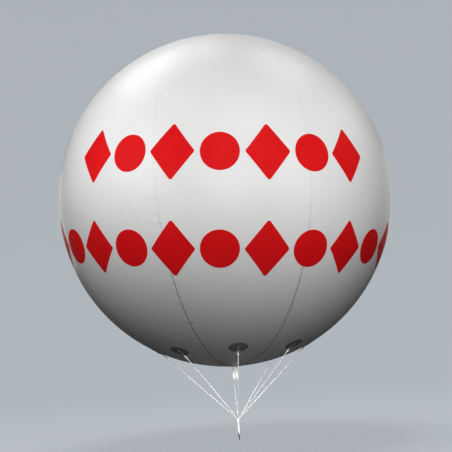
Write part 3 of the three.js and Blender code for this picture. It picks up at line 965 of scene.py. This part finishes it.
class Look:
    """A material made of nodes: a principled shader and what drives it."""

    def __init__(self, name, colour, roughness, **fixed):
        self.material = bpy.data.materials.new(name)
        self.material.use_nodes = True
        self.tree = self.material.node_tree
        self.shader = self.tree.nodes["Principled BSDF"]
        self.shader.inputs["Base Color"].default_value = (*colour, 1)
        self.shader.inputs["Roughness"].default_value = roughness
        for socket, value in fixed.items():
            self.shader.inputs[socket.replace("_", " ")].default_value = value

    def feed(self, target, value):
        """Links a socket to another one, or sets it to a constant."""
        if isinstance(value, bpy.types.NodeSocket):
            self.tree.links.new(value, target)
        else:
            target.default_value = value

    def node(self, kind, **inputs):
        node = self.tree.nodes.new(kind)
        for socket, value in inputs.items():
            self.feed(node.inputs[socket.replace("_", " ")], value)
        return node

    def where(self):
        """Places in the object's own space, in metres."""
        return self.node("ShaderNodeTexCoord").outputs["Object"]

    def pattern_place(self):
        """Places on the piece's own flat pattern."""
        node = self.node("ShaderNodeAttribute")
        node.attribute_name = "place"
        return node.outputs["Vector"]

    def noise(self, scale, detail=4.0, roughness=0.55):
        node = self.node("ShaderNodeTexNoise", Vector=self.where(), Scale=scale, Detail=detail,
                         Roughness=roughness)
        return node.outputs["Fac"]

    def weave(self, pitch_along, pitch_across, vector):
        """Crossing ribs, from 0 to 1, at two pitches in metres."""
        ribs = []
        split = self.node("ShaderNodeSeparateXYZ", Vector=vector)
        for axis, pitch in (("X", pitch_along), ("Y", pitch_across)):
            turned_by = self.maths("MULTIPLY", split.outputs[axis], 2 * math.pi / pitch)
            ribs.append(self.maths("SINE", turned_by))
        both = self.maths("MULTIPLY", ribs[0], ribs[1])
        return self.maths("MULTIPLY_ADD", both, 0.5, 0.5)

    def maths(self, operation, *values):
        node = self.tree.nodes.new("ShaderNodeMath")
        node.operation = operation
        for target, value in zip(node.inputs, values):
            self.feed(target, value)
        return node.outputs[0]

    def spread(self, value, low, high, start=0.3, end=0.7):
        """A value between start and end spread over low to high."""
        node = self.node("ShaderNodeMapRange", Value=value)
        for socket, number in zip(("From Min", "From Max", "To Min", "To Max"), (start, end, low, high)):
            node.inputs[socket].default_value = number
        return node.outputs["Result"]

    def cloud(self, *noise, start=0.3, end=0.7):
        """Noise as soft patches, from 0 to 1."""
        return self.spread(self.noise(*noise), 0.0, 1.0, start, end)

    def mix(self, factor, first, second):
        node = self.tree.nodes.new("ShaderNodeMix")
        node.data_type = "RGBA"
        for socket, value in (("Factor_Float", factor), ("A_Color", first), ("B_Color", second)):
            target = next(s for s in node.inputs if s.identifier == socket)
            self.feed(target, (*value, 1) if isinstance(value, tuple) else value)
        return next(s for s in node.outputs if s.identifier == "Result_Color")

    def use(self, socket, value):
        self.tree.links.new(value, self.shader.inputs[socket])
        return self

    def colour(self, factor, first, second):
        """A base colour between two."""
        self.use("Base Color", self.mix(factor, first, second))

    def rough(self, low, high, *noise):
        """A roughness that wanders from low to high."""
        self.use("Roughness", self.spread(self.noise(*noise), low, high))

    def bump(self, *layers):
        """Bumps laid over each other. Columns: height value, distance in metres, strength."""
        normal = None
        for height, distance, strength in layers:
            node = self.node("ShaderNodeBump", Height=height, Distance=distance, Strength=strength)
            if normal:
                self.tree.links.new(normal, node.inputs["Normal"])
            normal = node.outputs["Normal"]
        return self.use("Normal", normal)


def film_relief(look, grain_scale, grain_height):
    """Broad soft waves in the film, and a fine grain."""
    waves = (look.noise(7.0, 2.0), 2.5 * MM, 0.35)
    return look.bump(waves, (look.noise(grain_scale, 2.0), grain_height, 0.4)).material


def film_look():
    """White film with a soft gloss, faint clouding and a fine grain."""
    look = Look("balloon_film", (0.86, 0.86, 0.855), 0.36, Specular_IOR_Level=0.31)
    look.colour(look.cloud(1.6, 5.0), (0.84, 0.84, 0.835), (0.875, 0.875, 0.87))
    look.rough(0.33, 0.40, 6.0, 6.0)
    return film_relief(look, 420.0, 0.05 * MM)


def weld_look():
    """Two layers of film pressed together, with a fine knurl from the welding bar. The welds are
    painted darker towards the bottom: painted shade along the seams of the underside."""
    look = Look("welded_film", (0.8, 0.8, 0.8), 0.4)
    cloud = look.cloud(14.0, 4.0)
    own_colour = look.mix(cloud, (0.79, 0.79, 0.785), (0.84, 0.84, 0.835))
    # Painted shade: the weld colour darkens from 0.3 m to 0.9 m under the middle of the balloon
    painted_shade_colour = look.mix(cloud, (0.46, 0.46, 0.455), (0.58, 0.58, 0.575))
    height = look.node("ShaderNodeSeparateXYZ", Vector=look.where()).outputs["Z"]
    look.colour(look.spread(height, 1.0, 0.0, -0.9, -0.3), own_colour, painted_shade_colour)
    knurl = look.weave(3 * MM, 3 * MM, look.pattern_place())
    look.rough(0.34, 0.48, 30.0)
    return look.bump((knurl, 0.12 * MM, 0.5)).material


def print_look():
    """Red print on the film, more matt than the white, a little uneven."""
    look = Look("red_print", (0.75, 0.008, 0.010), 0.5, Specular_IOR_Level=0.05)
    look.colour(look.cloud(2.4, 5.0), (0.72, 0.006, 0.008), (0.79, 0.010, 0.012))
    look.rough(0.45, 0.56, 8.0, 5.0)
    return film_relief(look, 380.0, 0.04 * MM)


def patch_look():
    """Dark grey coated fabric: the weave shows faintly through the coating."""
    look = Look("patch_fabric", (0.28, 0.28, 0.28), 0.6)
    look.colour(look.cloud(26.0, 6.0, 0.65, start=0.35), (0.25, 0.25, 0.252), (0.325, 0.325, 0.32))
    look.rough(0.5, 0.72, 60.0, 4.0)
    cloth = look.weave(1.6 * MM, 1.6 * MM, look.pattern_place())
    return look.bump((cloth, 0.15 * MM, 0.5), (look.noise(90.0, 3.0), 0.4 * MM, 0.3)).material


def webbing_look():
    """White woven strap, a little soiled."""
    look = Look("strap_webbing", (0.55, 0.55, 0.53), 0.8, Sheen_Weight=0.2, Sheen_Roughness=0.4)
    weave = look.weave(2.6 * MM, 1.9 * MM, look.pattern_place())
    soil = look.cloud(45.0, 5.0)
    own_colour = look.mix(weave, (0.47, 0.47, 0.455), (0.65, 0.65, 0.63))
    look.colour(look.maths("MULTIPLY", soil, 0.3), own_colour, (0.34, 0.33, 0.31))
    return look.bump((weave, 0.45 * MM, 0.8), (look.noise(900.0, 2.0), 0.1 * MM, 0.4)).material


def thread_look():
    """Bonded sewing thread."""
    look = Look("sewing_thread", (0.62, 0.62, 0.6), 0.6, Sheen_Weight=0.2)
    look.colour(look.cloud(150.0), (0.52, 0.52, 0.5), (0.7, 0.7, 0.68))
    return look.bump((look.noise(2500.0, 1.0), 0.08 * MM, 0.5)).material


def cord_look():
    """White synthetic cord: fine fibres, faint dirt and a soft sheen."""
    look = Look("white_cord", (0.86, 0.87, 0.86), 0.62, Sheen_Weight=0.3, Sheen_Roughness=0.35)
    look.colour(look.cloud(70.0, 5.0, start=0.35, end=0.75), (0.88, 0.89, 0.88), (0.72, 0.72, 0.70))
    look.rough(0.55, 0.75, 200.0)
    return look.bump((look.noise(1600.0, 2.0), 0.12 * MM, 0.4)).material


def steel_look():
    """Satin steel, a little dulled."""
    look = Look("satin_steel", (0.62, 0.62, 0.63), 0.3, Metallic=1.0)
    look.colour(look.cloud(120.0, 6.0, 0.65, start=0.4), (0.66, 0.66, 0.67), (0.48, 0.47, 0.46))
    look.rough(0.24, 0.42, 300.0, 4.0)
    return look.bump((look.noise(1500.0, 2.0), 0.03 * MM, 0.4)).material


def dark_steel_look():
    """Dark coated steel with bright rubbed spots."""
    look = Look("dark_steel", (0.03, 0.034, 0.038), 0.38, Metallic=0.85)
    look.colour(look.cloud(210.0, 5.0, 0.6, start=0.6, end=0.72), (0.028, 0.032, 0.036), (0.16, 0.16, 0.16))
    look.rough(0.3, 0.5, 400.0, 4.0)
    return look.bump((look.noise(1800.0, 2.0), 0.03 * MM, 0.5)).material


def floor_look():
    """Pale paper with some light of its own, so that it stays even."""
    look = Look("studio_floor", (0.55, 0.60, 0.64), 0.9, Emission_Strength=FLOOR_GLOW)
    shade = look.mix(look.noise(0.35, 2.0), (0.54, 0.59, 0.635), (0.56, 0.61, 0.65))
    look.use("Base Color", shade)
    look.use("Emission Color", shade)
    return look.material


# Camera, studio and light

def make_camera():
    data = bpy.data.cameras.new("camera")
    data.lens = CAMERA_LENS
    data.sensor_width = SENSOR_WIDTH
    camera = bpy.data.objects.new("camera", data)
    turn = Matrix(camera_axes()).transposed().to_4x4()
    camera.matrix_world = Matrix.Translation(CAMERA_PLACE) @ turn
    bpy.context.scene.collection.objects.link(camera)
    bpy.context.scene.camera = camera


def make_stage():
    """A pale round floor that curves up into a wall on every side."""
    profile = [(FLOOR_RADIUS * share, FLOOR_HEIGHT) for share in (0, 0.15, 0.3, 0.5, 0.75)]
    cove = (FLOOR_RADIUS, FLOOR_HEIGHT + COVE_RADIUS)
    profile += arc(cove, COVE_RADIUS, -90, 0, 16)
    profile += [(FLOOR_RADIUS + COVE_RADIUS, FLOOR_HEIGHT + WALL_HEIGHT)]
    stage = new_object("studio", *turned(profile, 96), floor_look())
    # The stage catches light and shade, but it throws none back on the balloon
    stage.visible_diffuse = False
    stage.visible_glossy = False
    stage.visible_shadow = False
    return stage


def make_lamp(name, azimuth, elevation, distance, strength, receivers):
    """A disc lamp, whose power makes up for its distance."""
    data = bpy.data.lights.new(f"{name}_lamp", "AREA")
    data.shape = "DISK"
    data.size = LAMP_SPREAD * distance
    data.energy = 4 * strength * distance ** 2
    lamp = bpy.data.objects.new(f"{name}_lamp", data)
    turn, rise = math.radians(azimuth), math.radians(elevation)
    level = math.cos(rise)
    outward = Vector((math.sin(turn) * level, -math.cos(turn) * level, math.sin(rise)))
    lamp.location = distance * outward
    lamp.rotation_euler = outward.to_track_quat("Z", "Y").to_euler()
    lamp.visible_camera = False
    bpy.context.scene.collection.objects.link(lamp)
    lamp.light_linking.receiver_collection = receivers


def make_light(stage):
    """A dim even sky, and lamps for the balloon with its neck, the bridle, the neck and the stage."""
    world = bpy.data.worlds.new("studio_sky")
    bpy.context.scene.world = world
    world.use_nodes = True
    background = world.node_tree.nodes["Background"]
    background.inputs["Color"].default_value = (*SKY_COLOUR, 1)
    background.inputs["Strength"].default_value = SKY_STRENGTH
    pieces = [piece for piece in bpy.context.scene.objects if piece.type == "MESH" and piece != stage]
    bridle = [piece for piece in pieces if piece.name.startswith(BRIDLE_PIECES)]
    neck_pieces = [piece for piece in pieces if piece.name.startswith(NECK_PIECES)]
    balloon = [piece for piece in pieces if piece not in bridle]
    for name, lamps, lit in (
        ("balloon_pieces", LAMPS, balloon),
        ("bridle_pieces", BRIDLE_LAMPS, bridle),
        ("neck_pieces", NECK_LAMPS, neck_pieces),
        ("stage_pieces", [STAGE_LAMP], [stage]),
    ):
        receivers = bpy.data.collections.new(name)
        for piece in lit:
            receivers.objects.link(piece)
        for lamp in lamps:
            make_lamp(*lamp, receivers=receivers)


make_camera()
looks = {
    "film": (film_look(), "film"),
    "weld": (weld_look(), "film"),
    "print": (print_look(), "red_print"),
    "patch": (patch_look(), "grey_patch"),
    "webbing": (webbing_look(), "webbing"),
    "thread": (thread_look(), "webbing"),
    "cord": (cord_look(), "cord"),
    "steel": (steel_look(), "ring_steel"),
    "dark_steel": (dark_steel_look(), "hook_steel"),
}
for number in range(1, GORE_COUNT + 1):
    gore(number, looks["film"])
    weld_strip(number, looks["weld"])
    mooring_point(number, looks)
for name, latitude, count in PRINT_ROWS:
    for behind in (False, True):
        print_row(name, latitude, count, behind, looks["print"])
pole_discs(looks)
neck(looks)
bridle_knot(looks)
drop_line(looks)
swivel(looks)
hook(looks)
gate(looks)
make_light(make_stage())
bpy.context.scene.view_settings.view_transform = "Standard"
